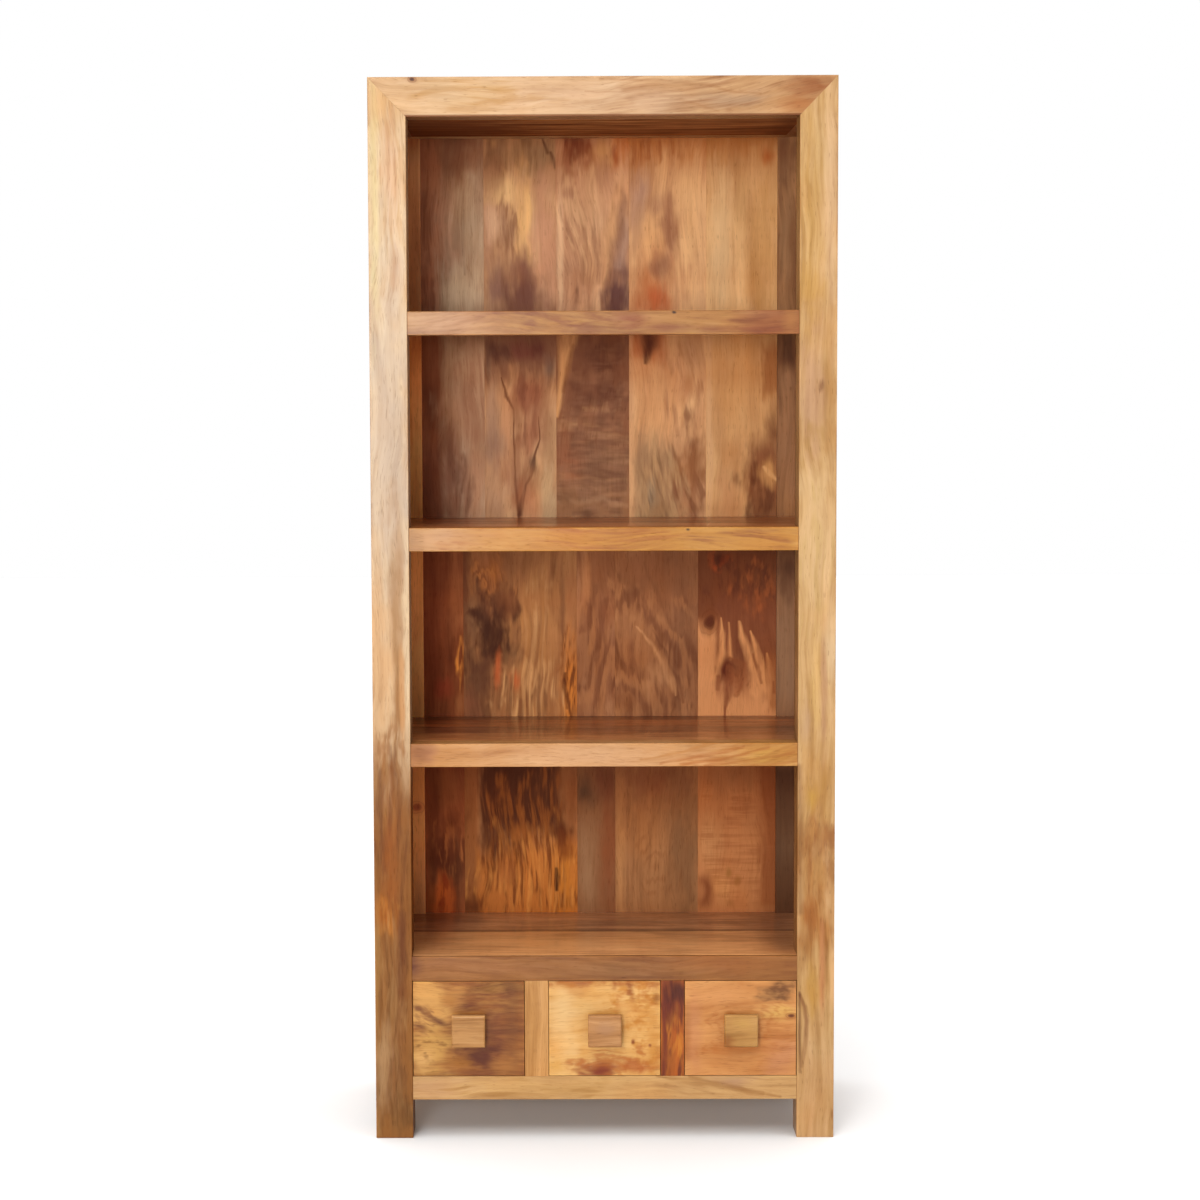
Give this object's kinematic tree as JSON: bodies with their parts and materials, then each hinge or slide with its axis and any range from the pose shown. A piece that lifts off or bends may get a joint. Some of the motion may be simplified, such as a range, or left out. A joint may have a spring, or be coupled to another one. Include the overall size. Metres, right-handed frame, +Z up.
{
  "type": "bookcase with bottom drawers",
  "caption": "Tall open bookcase in solid hardwood: square posts, mitred top, thick shelves, boarded back and a row of inset drawers with square knobs at the bottom.",
  "frame": {"origin": "on the floor, at the middle of the bounding box, knobs included", "axes": "+Z up, the open front and the drawers face -Y, +X to the right seen from the front"},
  "size_m": [0.8, 0.424, 1.836],
  "materials": {
    "wood_frame": "satin lacquer",
    "wood_rail": "satin lacquer",
    "wood_board": "satin lacquer",
    "wood_back": "satin lacquer",
    "wood_drawer_front": "satin lacquer",
    "wood_inside": "bare or thinly oiled",
    "steel": "zinc plated"
  },
  "bodies": {
    "carcass": {"back_panel_lower": "wood_back", "back_panel_upper": "wood_back", "back_screws": "steel", "back_stile_left": "wood_frame", "back_stile_right": "wood_frame", "bottom_cleats": "wood_inside", "bottom_front_rail": "wood_rail", "bottom_panel": "wood_inside", "bottom_rear_rail": "wood_rail", "bottom_side_rail_left": "wood_rail", "bottom_side_rail_right": "wood_rail", "ceiling_boards": "wood_board", "deck_boards": "wood_board", "drawer_guides": "wood_inside", "drawer_head_rail": "wood_rail", "drawer_kickers": "wood_inside", "drawer_partition_left": "wood_inside", "drawer_partition_right": "wood_inside", "drawer_stile_left": "wood_rail", "drawer_stile_right": "wood_rail", "drawer_stops": "wood_inside", "frame_dowels": "wood_inside", "front_post_left": "wood_frame", "front_post_right": "wood_frame", "rear_post_left": "wood_frame", "rear_post_right": "wood_frame", "shelf_boards_lower": "wood_board", "shelf_boards_middle": "wood_board", "shelf_boards_upper": "wood_board", "shelf_lip_lower": "wood_rail", "shelf_lip_middle": "wood_rail", "shelf_lip_upper": "wood_rail", "side_panel_left": "wood_board", "side_panel_right": "wood_board", "top_front_rail": "wood_frame", "top_panel": "wood_board", "top_rear_rail": "wood_frame", "top_side_rail_left": "wood_frame", "top_side_rail_right": "wood_frame"},
    "drawer_left": {"drawer_back_left": "wood_inside", "drawer_bottom_left": "wood_inside", "drawer_front_left": "wood_drawer_front", "drawer_knob_left": "wood_drawer_front", "drawer_side_l_left": "wood_inside", "drawer_side_r_left": "wood_inside", "knob_screw_left": "steel"},
    "drawer_middle": {"drawer_back_middle": "wood_inside", "drawer_bottom_middle": "wood_inside", "drawer_front_middle": "wood_drawer_front", "drawer_knob_middle": "wood_drawer_front", "drawer_side_l_middle": "wood_inside", "drawer_side_r_middle": "wood_inside", "knob_screw_middle": "steel"},
    "drawer_right": {"drawer_back_right": "wood_inside", "drawer_bottom_right": "wood_inside", "drawer_front_right": "wood_drawer_front", "drawer_knob_right": "wood_drawer_front", "drawer_side_l_right": "wood_inside", "drawer_side_r_right": "wood_inside", "knob_screw_right": "steel"}
  },
  "joints": [
    {"name": "drawer_left_slide", "type": "slide", "parent": "carcass", "child": "drawer_left", "axis": [0, -1, 0], "range_m": [0, 0.26]},
    {"name": "drawer_middle_slide", "type": "slide", "parent": "carcass", "child": "drawer_middle", "axis": [0, -1, 0], "range_m": [0, 0.26]},
    {"name": "drawer_right_slide", "type": "slide", "parent": "carcass", "child": "drawer_right", "axis": [0, -1, 0], "range_m": [0, 0.26]}
  ]
}
